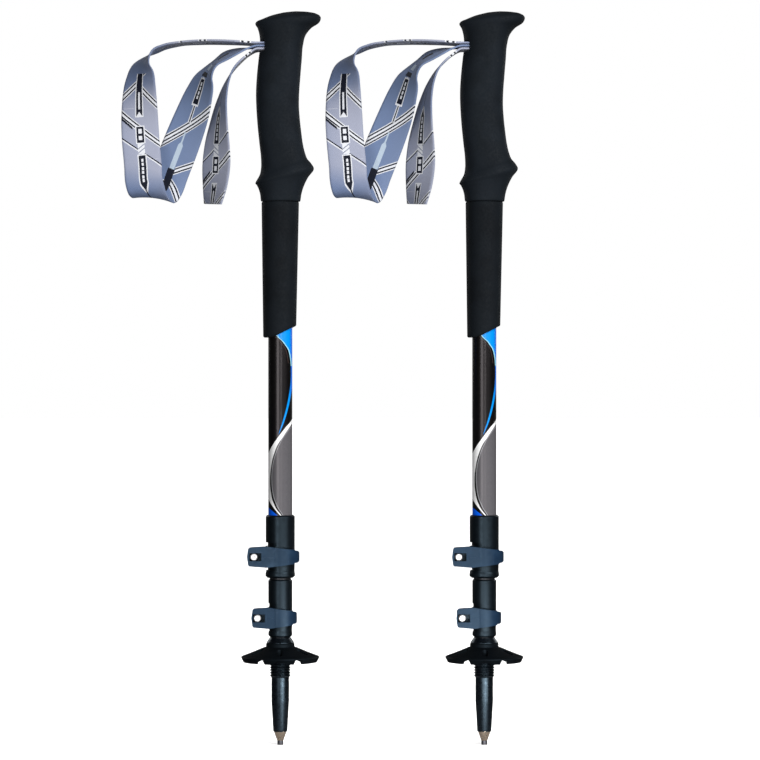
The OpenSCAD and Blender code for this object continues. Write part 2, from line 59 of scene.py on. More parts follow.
# Grip ovals: rear x, rear z, front x, front z, half width
GRIP = [
    (-13.9, 407.35, 14.5, 407.35, 13.6), (-14.4, 407.6, 15.0, 407.6, 14.1),
    (-14.6, 408.4, 15.2, 408.4, 14.3), (-15.0, 412.2, 15.7, 412.0, 14.5),
    (-16.2, 416.6, 17.4, 418.2, 15.4), (-17.6, 419.6, 20.8, 425.4, 16.8),
    (-18.6, 421.3, 25.2, 432.2, 18.1), (-17.4, 423.6, 23.2, 435.9, 17.4),
    (-15.4, 427.2, 20.4, 439.2, 16.0), (-14.4, 432.6, 18.4, 444.4, 14.8),
    (-14.5, 440.5, 16.9, 451.0, 14.0), (-15.6, 450.5, 15.8, 459.0, 13.6),
    (-16.9, 463.0, 14.7, 469.0, 13.6), (-17.9, 477.0, 14.0, 480.0, 13.9),
    (-18.2, 487.5, 14.2, 489.0, 14.4), (-17.6, 500.5, 15.1, 501.5, 15.2),
    (-16.3, 513.5, 16.1, 513.5, 16.2), (-15.1, 525.0, 17.1, 525.0, 17.0),
    (-15.7, 532.5, 19.2, 532.5, 17.2), (-17.0, 537.2, 23.2, 537.6, 17.2),
    (-18.6, 540.0, 30.0, 543.0, 17.4), (-18.7, 540.7, 30.5, 544.9, 17.3),
    (-17.9, 541.9, 29.9, 546.3, 16.7), (-14.8, 543.3, 27.6, 547.8, 15.0),
    (-8.0, 546.2, 22.0, 549.2, 10.0), (0.5, 548.6, 13.5, 549.9, 4.0),
]
GRIP_SQUARENESS = 2.3

# Webbing stations: centre x, y, z, direction across, width
LOOP = [
    (-17.3, 0, 525.5, 0, -1, 0, 22.6), (-28, 0, 526.2, 0, -1, 0, 25),
    (-42, 0, 526.8, 0, -1, 0, 28), (-60, 0, 526.8, 0, -1, 0, 28),
    (-76, 0, 525.6, 0.05, -1, 0, 28), (-88, -0.1, 522.9, 0.2, -0.97, 0.08, 28),
    (-96.5, -0.2, 518.6, 0.36, -0.9, 0.22, 28), (-102.8, -0.5, 511.0, 0.55, -0.78, 0.26, 28),
    (-104.9, -0.9, 498, 0.82, -0.56, 0.12, 28), (-105.4, -2.4, 476, 0.97, -0.24, 0.04, 28),
    (-104.4, -5.6, 455, 1, 0, 0.04, 28), (-102.4, -8.6, 434, 0.99, 0, 0.1, 28),
    (-101.3, -9.5, 420.9, 0.99, 0, 0.06, 28), (-99.9, -8.2, 416, 0.993, 0, -0.04, 28),
    (-98, -4.8, 412.3, 0.993, 0, -0.12, 28), (-95.4, 0, 410.7, 0.993, 0, -0.12, 28),
    (-92.6, 4.7, 411.6, 0.993, 0, -0.12, 28), (-89.6, 8.2, 414.8, 0.98, 0, -0.2, 28),
    (-87, 9.5, 419.3, 0.96, 0, -0.28, 28), (-83.6, 9.2, 428.5, 0.94, 0, -0.34, 28),
    (-76.3, 7, 446.8, 0.94, -0.1, -0.33, 28), (-66.4, 4.2, 472.5, 0.88, -0.4, -0.22, 28),
    (-60.4, 2.4, 490, 0.74, -0.65, -0.04, 28), (-55.8, 1.2, 502.4, 0.54, -0.82, 0.14, 28),
    (-49.6, 0.5, 510.4, 0.32, -0.93, -0.02, 28), (-41.5, 0, 516.2, 0.14, -0.94, -0.28, 27.5),
    (-32, 0, 520.1, 0.05, -0.97, -0.24, 26), (-24, 0, 522.2, 0, -0.99, -0.1, 24),
    (-17.3, 0, 523.3, 0, -1, 0, 22.6),
]
TAIL = [
    (-17.3, 0, 521.1, 0, -1, 0, 22.6), (-23.6, 0, 517.6, 0, -1, -0.06, 24.5),
    (-29.2, 0, 512.9, 0, -1, -0.06, 26), (-35, 0, 506.4, 0.06, -1, -0.02, 28),
    (-40.3, 0, 495.8, 0.18, -0.98, 0.04, 28), (-43.6, 0, 484, 0.3, -0.95, 0.07, 28),
    (-46.2, 0, 466, 0.5, -0.87, 0.03, 28), (-47.4, 0, 450, 0.68, -0.73, 0, 28),
    (-47.9, 0, 436, 0.76, -0.65, 0, 28), (-48.9, 0, 420, 0.68, -0.73, 0, 28),
    (-50.6, 0, 405.4, 0.5, -0.87, 0, 28),
]
WEBBING = 1.5
STRAP_PIN = (3.5, 523.2)
ROUND_PIN = 2.3
STRAP_SLOT = 22.6  # width of the webbing inside the head


def flat(x, z):
    """A webbing station inside the head, where the webbing lies level."""
    return (x, 0, z, 0, -1, 0, STRAP_SLOT)


def strap_stations():
    """The whole webbing: tail, round the pin, out over the top, down, under, back to its sewn end."""
    turns = [math.radians(a) for a in range(-90, 91, 22)]
    pin_x, pin_z = STRAP_PIN
    round_pin = [flat(pin_x + ROUND_PIN * math.cos(a), pin_z + ROUND_PIN * math.sin(a)) for a in turns]
    return (
        TAIL[::-1] + [flat(-14, 521.1), flat(-5, 520.95)] + round_pin
        + [flat(-5, 525.5), flat(-14, 525.5)] + LOOP
        + [flat(-14, 523.3), flat(-8, 523.45), flat(-3, 523.7)]
    )


# ---- Shader building ----


class Shader:
    """A material whose nodes are written as short expressions on sockets."""

    def __init__(self, name, **surface):
        self.material = bpy.data.materials.new(name)
        self.material.use_nodes = True
        self.tree = self.material.node_tree
        self.surface = self.tree.nodes["Principled BSDF"]
        for key, value in surface.items():
            self.feed(self.surface.inputs[key.replace("_", " ")], value)

    def feed(self, socket, value):
        if isinstance(value, bpy.types.NodeSocket):
            self.tree.links.new(value, socket)
        elif value is not None:
            if socket.type == "RGBA" and len(value) == 3:
                value = (*value, 1)
            socket.default_value = value

    def node(self, kind, inputs=(), **settings):
        node = self.tree.nodes.new("ShaderNode" + kind)
        for key, value in settings.items():
            setattr(node, key, value)
        for key, value in dict(inputs).items():
            self.feed(node.inputs[key], value)
        return node

    def math(self, operation, a, b=None, c=None, clamp=False):
        inputs = {i: v for i, v in enumerate((a, b, c)) if v is not None}
        return self.node("Math", inputs, operation=operation, use_clamp=clamp).outputs[0]

    def all_of(self, first, *rest):
        for other in rest:
            first = self.math("MULTIPLY", first, other)
        return first

    def any_of(self, first, *rest):
        for other in rest:
            first = self.math("MAXIMUM", first, other)
        return first

    def less(self, a, b):
        return self.math("LESS_THAN", a, b)

    def near(self, value, centre, half):
        """1 where value lies within half of centre."""
        return self.less(self.math("ABSOLUTE", self.math("SUBTRACT", value, centre)), half)

    def between(self, value, low, high):
        return self.near(value, (low + high) / 2, (high - low) / 2)

    def ramp(self, value, low, high, to_low=0.0, to_high=1.0, smooth=True):
        kind = "SMOOTHSTEP" if smooth else "LINEAR"
        inputs = {0: value, 1: low, 2: high, 3: to_low, 4: to_high}
        return self.node("MapRange", inputs, interpolation_type=kind).outputs[0]

    def mix(self, factor, a, b):
        node = self.node("Mix", data_type="RGBA")
        for index, value in ((0, factor), (6, a), (7, b)):
            self.feed(node.inputs[index], value)
        return node.outputs[2]

    def place(self, stretch=(1, 1, 1)):
        """Position in the piece, in millimetres, each axis scaled by stretch."""
        coordinates = self.node("TexCoord").outputs["Object"]
        scale = tuple(s / MM for s in stretch)
        return self.node("VectorMath", {0: coordinates, 1: scale}, operation="MULTIPLY").outputs[0]

    def noise(self, per_mm, detail=2.0, stretch=(1, 1, 1)):
        """Noise with per_mm cycles to the millimetre."""
        inputs = {"Vector": self.place(stretch), "Scale": per_mm, "Detail": detail}
        return self.node("TexNoise", inputs).outputs[0]

    def cells(self, per_mm):
        """Distance to the nearest of per_mm cell centres to the millimetre."""
        inputs = {"Vector": self.place(), "Scale": per_mm}
        return self.node("TexVoronoi", inputs).outputs[0]

    def bump(self, height, depth_mm, strength=1.0, normal=None):
        inputs = {"Height": height, "Distance": depth_mm * MM, "Strength": strength, "Normal": normal}
        return self.node("Bump", inputs).outputs[0]

    def edge_wear(self):
        """1 on worn outer edges, 0 elsewhere."""
        edges = self.ramp(self.node("NewGeometry").outputs["Pointiness"], 0.52, 0.6)
        return self.math("MULTIPLY", edges, self.ramp(self.noise(0.8, 4), 0.4, 0.65))

    def finish(self, **links):
        for key, value in links.items():
            self.feed(self.surface.inputs[key.replace("_", " ")], value)
        return self.material


def moulded(name, colour, lit, roughness, grain, grain_depth, gloss=0.2, tint=(1, 1, 1)):
    """Moulded plastic: a fine spark-eroded grain, faint flow marks and slightly polished edges."""
    s = Shader(name, Specular_IOR_Level=gloss, Specular_Tint=tint)
    mottle = s.noise(0.08, 3)
    shade = s.mix(s.ramp(mottle, 0.35, 0.65), colour, lit)
    wear = s.edge_wear()
    polished = tuple(1.5 * c + 0.006 for c in lit)
    flow = s.ramp(s.noise(0.35, 3), 0.3, 0.7, roughness - 0.05, roughness + 0.05)
    return s.finish(
        Base_Color=s.mix(s.math("MULTIPLY", wear, 0.5), shade, polished),
        Roughness=s.math("ADD", flow, s.math("MULTIPLY", wear, -0.1)),
        Normal=s.bump(s.noise(grain, 2), grain_depth, 0.6),
    )


def foam(name, colour, lit):
    """Closed-cell foam: tiny cells with painted shade in their hollows, a buffed skin and a little dust."""
    s = Shader(name, Specular_IOR_Level=0.12, Sheen_Weight=0.02, Sheen_Roughness=0.5)
    pores = s.ramp(s.cells(2.2), 0.05, 0.5)
    soft = s.noise(0.05, 3)
    shade = s.mix(s.ramp(soft, 0.35, 0.65), colour, lit)
    # painted shade: the cells' hollows are blended towards a darker copy of the foam's colour
    pore_shade = s.math("MULTIPLY", s.math("SUBTRACT", 1.0, pores), 0.3)
    skin = s.bump(soft, 0.25, 0.5)
    return s.finish(
        Base_Color=s.mix(pore_shade, shade, tuple(c * 0.45 for c in colour)),
        Roughness=s.ramp(s.noise(0.6, 3), 0.3, 0.7, 0.62, 0.78),
        Normal=s.bump(pores, 0.05, 0.5, normal=skin),
    )


def metal(name, colour, roughness, lines_per_mm, depth=0.004):
    """Turned or drawn metal with fine lines round its axis."""
    s = Shader(name, Metallic=1.0)
    lines = s.noise(lines_per_mm, 3, stretch=(0.15, 0.15, 1))
    smudge = s.noise(0.25, 4)
    return s.finish(
        Base_Color=s.mix(s.ramp(smudge, 0.3, 0.8), colour, tuple(c * 0.82 for c in colour)),
        Roughness=s.ramp(smudge, 0.3, 0.7, roughness - 0.05, roughness + 0.08),
        Normal=s.bump(lines, depth, 0.7),
    )


# The webbing's print, in millimetres across (t) and along (s), later shapes over earlier ones.
# A stripe crosses at s = centre + slope * t between two values of t. A bar lies along the middle,
# and its far end runs out by point for each millimetre from the middle.
PRINT_PERIOD = 113.0
TAIL_START = 17.0
BACK_PRINT = 1000.0  # what the reverse's print counts from, to tell it from the face's
EDGE = 14.0


def stripe(ink, centre, slope, half, t_from=-EDGE, t_to=EDGE):
    return ("stripe", ink, centre, slope, half, t_from, t_to)


def pair(centre, slope, t_from=-EDGE, t_to=EDGE):
    """Two ink stripes on a white one."""
    spread = 1.3
    step = spread * math.hypot(1, slope)
    return [stripe("white", centre, slope, spread + 1.2, t_from, t_to)] + [
        stripe("ink", centre + k * step, slope, 0.52, t_from, t_to) for k in (-1, 1)]


def bar(ink, start, end, half, point=0.0):
    return ("bar", ink, start, end, half, point)


FACE_PRINT = (
    [stripe("panel", 26.0, 0.0, 0.2, -12.0, -4.2), stripe("panel", 66.0, 0.0, 0.2, 4.2, 12.0)]
    + pair(1.6, -0.7, 2.6) + pair(-1.0, 1.0, -7.5, -2.6)
    + pair(6.0, -0.85, -EDGE, -2.6) + pair(9.6, 1.06, 2.6)
    + pair(42.0, 0.89) + [stripe("ink", 46.4, 0.95, 0.75, -EDGE, -5.5)]
    + [stripe("white", 60.4, 0.8, 0.5), stripe("ink", 59.4, 0.8, 0.45)]
    + [bar("white", -0.8, 33.0, 3.2), bar("ink", 0.0, 28.8, 2.4, 1.5), bar("white", 14.0, 27.0, 0.75)]
    + [bar("white", 39.6, 53.2, 3.5), bar("ink", 40.4, 52.6, 2.7), bar("white", 42.0, 45.6, 1.3),
       bar("white", 47.4, 50.6, 1.3)]
    + [bar("white", 53.2, 61.2, 2.6), stripe("shade", 55.6, -0.7, 0.35, -2.6, 2.6),
       stripe("shade", 58.6, -0.7, 0.35, -2.6, 2.6)]
    + [bar("white", 61.6, 92.4, 3.4, -2.4), bar("ink", 62.4, 89.4, 2.6, -2.4)]
    + [bar("ink", 86.0, 102.0, 0.45)]
    + [bar("white", s, s + 2.2, 0.8) for s in (65.0, 68.0, 71.4, 74.2, 77.6, 80.2)]
)
# Its glint bars are painted highlights along the webbing's middle, not ink.
REVERSE_PRINT = (
    pair(6.0, -0.78, 2.4) + pair(4.0, 0.8, -EDGE, -2.4) + pair(11.0, 0.84, 2.4)
    + pair(49.0, 1.2) + [stripe("white", 43.6, 1.2, 1.0), stripe("ink", 43.6, 1.2, 0.45)]
    + [bar("ink", -3.0, 14.2, 2.7), bar("glint", 14.2, 36.5, 1.9, -1.8), bar("glint", 34.0, 43.5, 0.6)]
    + [bar("white", 51.5, 87.0, 1.2), bar("ink", 52.0, 66.0, 0.5)]
    + [bar("white", 64.5, 86.5, 3.1), bar("ink", 66.0, 85.5, 2.3)]
    + [bar("white", s, s + 2.6, 0.8) for s in (70.0, 73.4, 77.0, 80.4)]
    + [bar("ink", 87.5, 91.0, 4.5), bar("glint", 93.0, 98.0, 3.6), bar("ink", 104.0, 113.0, 2.4)]
)
# glint is the pale blue of the painted highlights on the reverse
INKS = {
    "ink": (0.006, 0.008, 0.018), "white": (0.90, 0.92, 0.97), "panel": (0.60, 0.62, 0.72),
    "shade": (0.30, 0.33, 0.43), "glint": (0.55, 0.66, 0.78),
}


def printed(s, colour, shapes, t, side, along):
    for kind, ink, *numbers in shapes:
        if kind == "stripe":
            centre, slope, half, t_from, t_to = numbers
            offset = s.math("MULTIPLY_ADD", t, -slope, along)
            mask = s.near(offset, centre, half * math.hypot(1, slope))
            if (t_from, t_to) != (-EDGE, EDGE):
                mask = s.all_of(mask, s.between(t, t_from, t_to))
        else:
            start, end, half, point = numbers
            reach = s.math("MULTIPLY_ADD", side, -point, along) if point else along
            mask = s.all_of(s.less(side, half), s.math("GREATER_THAN", along, start), s.less(reach, end))
        colour = s.mix(mask, colour, INKS[ink])
    return colour


def webbing_material():
    """Printed webbing. The UV map holds metres across from the middle and metres along."""
    s = Shader("printed_webbing", Specular_IOR_Level=0.2, Sheen_Weight=0.1, Sheen_Roughness=0.4)
    split = s.node("SeparateXYZ", {0: s.node("UVMap", uv_map="webbing").outputs[0]})
    t, run = (s.math("MULTIPLY", split.outputs[i], 1 / MM) for i in (0, 1))
    side = s.math("ABSOLUTE", t)
    on_back = s.math("GREATER_THAN", run, BACK_PRINT / 2)
    along = s.math("MULTIPLY_ADD", on_back, -BACK_PRINT, s.math("WRAP", run, PRINT_PERIOD, 0.0))
    back = s.math("SUBTRACT", run, BACK_PRINT)

    warmth_and_side_shade = s.all_of(s.ramp(along, 2.0, 26.0), s.ramp(along, 92.0, 66.0))
    # besides the warmer middle of each print repeat, painted shade: the webbing turns cooler and darker
    # towards its negative-t edge and warmer towards the other
    warmth_and_side_shade = s.math("MULTIPLY_ADD", t, 0.02, warmth_and_side_shade, clamp=True)
    colour = s.mix(warmth_and_side_shade, (0.180, 0.240, 0.405), (0.435, 0.460, 0.580))
    colour = s.mix(s.math("MULTIPLY", on_back, 0.7), colour, (0.195, 0.268, 0.445))
    colour = printed(s, colour, FACE_PRINT, t, side, along)
    colour = printed(s, colour, REVERSE_PRINT, t, side, back)
    selvedge = s.ramp(side, 12.7, 13.6)
    colour = s.mix(s.math("MULTIPLY", selvedge, 0.2), colour, (0.060, 0.080, 0.150))

    # plain weave: ribs across every 1.1 mm and warp ends every 1.6 mm
    rib = s.math("SINE", s.math("MULTIPLY", run, math.tau / 1.1))
    warp = s.math("SINE", s.math("MULTIPLY", t, math.tau / 1.6))
    weave = s.math("MULTIPLY", rib, warp)
    fuzz = s.noise(3.0, 3)
    height = s.math("MULTIPLY_ADD", fuzz, 0.6, weave)
    # painted shade: the weave's low points are darkened
    colour = s.mix(s.ramp(weave, -1.0, 1.0, 0.16, 0.0), colour, (0.02, 0.03, 0.06))
    rough = s.ramp(fuzz, 0.3, 0.7, 0.6, 0.78)
    return s.finish(Base_Color=colour, Roughness=rough, Normal=s.bump(height, 0.06, 0.7))


def height_curve(s, z, low, high, points):
    """x in millimetres as a smooth function of z, through (z, x) points between low and high."""
    reach = 12.0
    node = s.node("FloatCurve", {"Value": s.ramp(z, low, high, smooth=False)})
    curve = node.mapping.curves[0]
    knots = sorted(((p[0] - low) / (high - low), (p[1] + reach) / (2 * reach)) for p in points)
    curve.points[0].location, curve.points[1].location = knots[0], knots[-1]
    for knot in knots[1:-1]:
        curve.points.new(*knot)
    node.mapping.update()
    return s.math("MULTIPLY_ADD", node.outputs[0], 2 * reach, -reach)


# Edges of the tube's printed bands, as (height, x), between the heights in PRINT_ENDS
PRINT_ENDS = (170.0, 320.0)
BLUE_LEFT = [(320, -11), (306.4, -2.3), (300.4, 3.3), (291.7, 7.2), (281, 8.1), (270, 7.7),
             (262, 6.6), (253.2, 4.9), (242.7, 2.1), (233.3, -0.9), (228, -2.4), (170, -2.6)]
BLUE_RIGHT = [(320, 12), (280, 12), (274, 10.5), (268, 9.0), (262, 8.1), (253.2, 6.3),
              (242.7, 3.3), (236, 0.6), (233.3, -0.7), (228, -2.6), (170, -2.7)]
WHITE_TOP = [(320, 12), (252, 12), (243.8, 8.7), (238.2, 4.3), (230.7, -1.4), (224, -6.0), (218, -9.2),
             (212, -12), (190, -12), (184.5, -9.0), (180, -6.2), (175, -2.2), (170, 2.4)]
WHITE_FOOT = [(320, 12), (252, 12), (246, 12), (240.5, 8.7), (231.5, 2.6), (221, -3.4), (208.2, -6.7),
              (198.5, -7.5), (189.5, -6.9), (179.7, -4.0), (172.6, 0.9), (170, 2.9)]
LEAF = [(320, 12), (252, 12), (244, 12), (239, 8.7), (235.2, 5.6), (225.5, -0.4), (215, -4.3),
        (206, -6.0), (198.5, -6.2), (189.5, -5.4), (180.5, -2.6), (173, 1.8), (170, 3.6)]


def printed_tube_material():
    """Gloss black tube with printed sweeps of blue, white and grey under clear lacquer."""
    s = Shader("printed_tube", Roughness=0.30, Coat_Weight=0.08, Coat_Roughness=0.2,
               Specular_IOR_Level=0.30, Specular_Tint=(1.0, 0.90, 0.93))
    split = s.node("SeparateXYZ", {0: s.place()})
    x, z = split.outputs[0], split.outputs[2]
    blue_left, blue_right, white_top, white_foot, leaf = (
        height_curve(s, z, *PRINT_ENDS, c) for c in (BLUE_LEFT, BLUE_RIGHT, WHITE_TOP, WHITE_FOOT, LEAF))

    def beyond(edge, offset=0.0):
        return s.math("GREATER_THAN", s.math("SUBTRACT", x, edge), offset)

    def along_edge(edge, offset, half):
        return s.near(s.math("SUBTRACT", x, edge), offset, half)

    blue = s.all_of(beyond(blue_left), s.less(x, blue_right), s.math("GREATER_THAN", z, 232.8))
    cyan = s.all_of(along_edge(blue_left, 0.35, 0.38), s.math("GREATER_THAN", z, 284.0))
    ghost = s.all_of(along_edge(blue_left, -1.7, 0.2), s.math("GREATER_THAN", z, 286.0))
    white = s.all_of(beyond(white_top), s.less(x, white_foot), s.less(z, 250.0))
    grey = s.all_of(beyond(leaf, 0.3), s.less(z, 249.0))
    rim = s.all_of(along_edge(leaf, 0.1, 0.28), s.less(z, 249.0))
    corner = s.less(x, s.math("MULTIPLY_ADD", z, -1.2, 204.9))
    ground = s.mix(s.ramp(s.noise(0.4, 3), 0.3, 0.7), (0.0022, 0.0020, 0.0022), (0.0042, 0.0038, 0.0040))
    # painted shade: the printed blue darkens towards the tube's +x side, from 6.5 mm out to its edge
    blue_with_side_shade = s.mix(s.ramp(x, 6.5, 9.2), (0.000, 0.300, 0.900), (0.000, 0.140, 0.850))
    flake = s.mix(s.ramp(s.noise(1.8, 2), 0.35, 0.7), (0.092, 0.088, 0.096), (0.122, 0.118, 0.126))
    colour = s.mix(s.math("MULTIPLY", ghost, 0.35), ground, (0.16, 0.10, 0.09))
    for mask, ink in (
        (blue, blue_with_side_shade), (cyan, (0.350, 0.750, 0.900)), (grey, flake), (white, (0.95, 0.95, 0.95)),
        (rim, (0.32, 0.32, 0.34)), (corner, (0.000, 0.110, 0.800)),
    ):
        colour = s.mix(mask, colour, ink)
    peel = s.bump(s.noise(0.5, 2), 0.01, 0.4)
    return s.finish(Base_Color=colour, Normal=peel, Coat_Normal=peel)


def sliding_tube_material():
    """Satin black tube with plain depth marks every five millimetres, longer every twenty."""
    s = Shader("anodised_tube", Metallic=0.6, Specular_IOR_Level=0.4)
    split = s.node("SeparateXYZ", {0: s.place()})
    x, y, z = split.outputs
    grain = s.noise(0.7, 3, stretch=(1, 1, 0.04))
    front = s.all_of(s.less(y, 0.0), s.between(z, 150.0, 430.0))
    small = s.all_of(s.less(s.math("WRAP", z, 5.0, 0.0), 0.35), s.between(x, -1.2, 1.2))
    large = s.all_of(s.less(s.math("WRAP", z, 20.0, 0.0), 0.45), s.between(x, -2.6, 2.6))
    colour = s.mix(s.ramp(grain, 0.35, 0.65), (0.020, 0.021, 0.024), (0.038, 0.040, 0.045))
    colour = s.mix(s.all_of(front, s.any_of(small, large)), colour, (0.62, 0.63, 0.66))
    rough = s.ramp(grain, 0.3, 0.7, 0.30, 0.42)
    return s.finish(Base_Color=colour, Roughness=rough, Normal=s.bump(grain, 0.01, 0.5))


# ---- Mesh building ----


def new_object(name, points, faces, material, sharp_angle=40):
    """A mesh object from points in millimetres."""
    mesh = bpy.data.meshes.new(name)
    mesh.from_pydata([tuple(c * MM for c in p) for p in points], [], faces)
    mesh.materials.append(material)
    mesh.validate()
    mesh.shade_smooth()
    mesh.set_sharp_from_angle(angle=math.radians(sharp_angle))
    piece = bpy.data.objects.new(name, mesh)
    bpy.context.scene.collection.objects.link(piece)
    return piece


def loft(rings, closed=False):
    """Faces between rings of equal length, capped at both ends unless the rings close on themselves."""
    n, rows = len(rings[0]), len(rings)
    points = [p for ring in rings for p in ring]
    faces = []
    for r in range(rows if closed else rows - 1):
        here, there = r * n, (r + 1) % rows * n
        faces += [(here + i, here + (i + 1) % n, there + (i + 1) % n, there + i) for i in range(n)]
    if not closed:
        faces += [tuple(reversed(range(n))), tuple((rows - 1) * n + i for i in range(n))]
    return points, faces


def circle(radius, z, sides):
    turns = [math.tau * i / sides for i in range(sides)]
    return [(radius * math.cos(a), radius * math.sin(a), z) for a in turns]


def spline(rows, spacing):
    """Rows joined by a smooth curve and sampled about every spacing millimetres."""
    gaps = [math.dist(a[:4], b[:4]) for a, b in zip(rows, rows[1:])]
    last = len(rows) - 1
    slopes = []
    for i in range(last + 1):
        sides = (max(i - 1, 0), min(i, last - 1))
        here = [[(q - p) / gaps[j] for p, q in zip(rows[j], rows[j + 1])] for j in sides]
        before, after = (gaps[j] for j in sides)
        slopes.append([(u * after + v * before) / (before + after) for u, v in zip(*here)])
    result = []
    for i, gap in enumerate(gaps):
        steps = max(1, round(gap / spacing))
        for k in range(steps):
            t = k / steps
            start, end = (1 + 2 * t) * (1 - t) ** 2, t * t * (3 - 2 * t)
            leave, arrive = gap * t * (1 - t) ** 2, gap * t * t * (t - 1)
            result.append(tuple(
                start * p + end * q + leave * m + arrive * n
                for p, q, m, n in zip(rows[i], rows[i + 1], slopes[i], slopes[i + 1])))
    return result + [tuple(rows[last])]


def baked(piece):
    """Applies the piece's modifiers."""
    graph = bpy.context.evaluated_depsgraph_get()
    mesh = bpy.data.meshes.new_from_object(piece.evaluated_get(graph))
    piece.modifiers.clear()
    piece.data = mesh
    return piece


def carve(piece, low, high, bevel):
    """Cuts a box with softened edges out of the piece. Corners are in millimetres."""
    bm = bmesh.new()
    bmesh.ops.create_cube(bm, size=1)
    for v in bm.verts:
        v.co = Vector(((a + b) / 2 + c * (b - a)) * MM for a, b, c in zip(low, high, v.co))
    bmesh.ops.bevel(bm, geom=bm.edges[:], offset=bevel * MM, segments=3, profile=0.5, affect="EDGES")
    mesh = bpy.data.meshes.new("cutter")
    bm.to_mesh(mesh)
    bm.free()
    cutter = bpy.data.objects.new("cutter", mesh)
    bpy.context.scene.collection.objects.link(cutter)
    modifier = piece.modifiers.new("carve", "BOOLEAN")
    modifier.object, modifier.operation, modifier.solver = cutter, "DIFFERENCE", "EXACT"
    baked(piece)
    bpy.data.objects.remove(cutter)
    return piece


def softened(name, node, offset, width, material):
    """A copy of a CAD node about its own pole's axis, with its sharp edges rounded to width mm."""
    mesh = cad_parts[node].data.copy()
    bm = bmesh.new()
    bm.from_mesh(mesh)
    bmesh.ops.remove_doubles(bm, verts=bm.verts[:], dist=0.002 * MM)
    nearly_flat = math.radians(0.6)
    bmesh.ops.dissolve_limit(bm, angle_limit=nearly_flat, verts=bm.verts[:], edges=bm.edges[:])
    bmesh.ops.translate(bm, verts=bm.verts[:], vec=(-offset * MM, 0, 0))
    bm.to_mesh(mesh)
    bm.free()
    for key in ("custom_normal", "sharp_edge", "sharp_face"):
        if key in mesh.attributes:
            mesh.attributes.remove(mesh.attributes[key])
    mesh.materials.clear()
    mesh.materials.append(material)
    piece = bpy.data.objects.new(name, mesh)
    bpy.context.scene.collection.objects.link(piece)
    bevel = piece.modifiers.new("bevel", "BEVEL")
    bevel.limit_method, bevel.angle_limit = "ANGLE", math.radians(32)
    bevel.width, bevel.segments = width * MM, 2
    bevel.use_clamp_overlap, bevel.harden_normals = True, False
    piece.data.shade_smooth()
    baked(piece)
    piece.data.shade_smooth()
    piece.data.set_sharp_from_angle(angle=math.radians(50))
    normals = piece.modifiers.new("normals", "WEIGHTED_NORMAL")
    normals.keep_sharp, normals.weight = True, 80
    return baked(piece)


def seat(piece, offset, body, slot, *nodes):
    """Moves a finished piece to its pole and hands it to the frame."""
    piece.location.x = offset * MM
    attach(piece, body)
    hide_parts(*nodes)
    return piece


# ---- Pieces ----


def signed_power(value, power):
    return math.copysign(abs(value) ** power, value)


def grip(name, material):
    rings = []
    sides = 96
    for rear_x, rear_z, front_x, front_z, half in spline(GRIP, 0.9):
        ring = []
        for i in range(sides):
            a = math.tau * i / sides
            u, v = (signed_power(f(a), 2 / GRIP_SQUARENESS) for f in (math.cos, math.sin))
            ring.append(((rear_x + front_x) / 2 + u * (front_x - rear_x) / 2, v * half,
                         (rear_z + front_z) / 2 + u * (front_z - rear_z) / 2))
        rings.append(ring)
    piece = new_object(name, *loft(rings), material, sharp_angle=60)
    slot_low, slot_high = (-40, -12.2, 519.2), (-8, 12.2, 527.6)
    return carve(piece, slot_low, slot_high, 1.0)


def extension_foot(x):
    """Height of the extension's slanted lower end at x."""
    knots = [(-20, 304.9), (-9, 305.5), (-2.5, 307.2), (4, 309.7), (12, 313.3), (20, 316.9)]
    for (x0, z0), (x1, z1) in zip(knots, knots[1:]):
        if x <= x1:
            return z0 + (z1 - z0) * (x - x0) / (x1 - x0)
    return knots[-1][1]


def extension(name, material):
    """Foam sleeve: bore, slanted foot with a rounded edge, tapered outside, rounded top.

    Each row is a bore radius or None for the outside, a share of the height, an inset and a lift.
    """
    sides, bottom, top, bore = 96, 304.9, 407.2, 9.1
    rows = [(bore, 1.0, 0.0, 0.0), (bore, 0.0, 0.0, 0.0)]
    rows += [(None, 0.0, -1.0, 0.0), (None, 0.0, -0.35, 0.35), (None, 0.0, 0.0, 1.0)]
    rows += [(None, k / 24, 0.0, 0.0) for k in range(1, 24)]
    rows += [(None, 1.0, 0.0, -1.0), (None, 1.0, -0.35, -0.35), (None, 1.0, -1.0, 0.0)]
    rings = []
    for radius, share, inset, lift in rows:
        ring = []
        for x, y, _ in circle(1, 0, sides):
            foot = extension_foot(13 * x)
            z = foot + share * (top - foot) + lift
            r = radius or 12.3 + (z - bottom) * 1.75 / 102.4 + inset
            lean = 0.0 if radius else -0.5 * (top - z) / (top - bottom)
            ring.append((r * x + lean, r * y, z))
        rings.append(ring)
    return new_object(name, *loft(rings, closed=True), material, sharp_angle=50)


def tube(name, material, radius, wall, bottom, top):
    edge = 0.25
    outline = [(radius - wall, top - edge), (radius - wall, bottom + edge), (radius - wall + edge, bottom),
               (radius - edge, bottom), (radius, bottom + edge), (radius, top - edge), (radius - edge, top),
               (radius - wall + edge, top)]
    rings = [circle(r, z, 128) for r, z in outline]
    return new_object(name, *loft(rings, closed=True), material, sharp_angle=35)


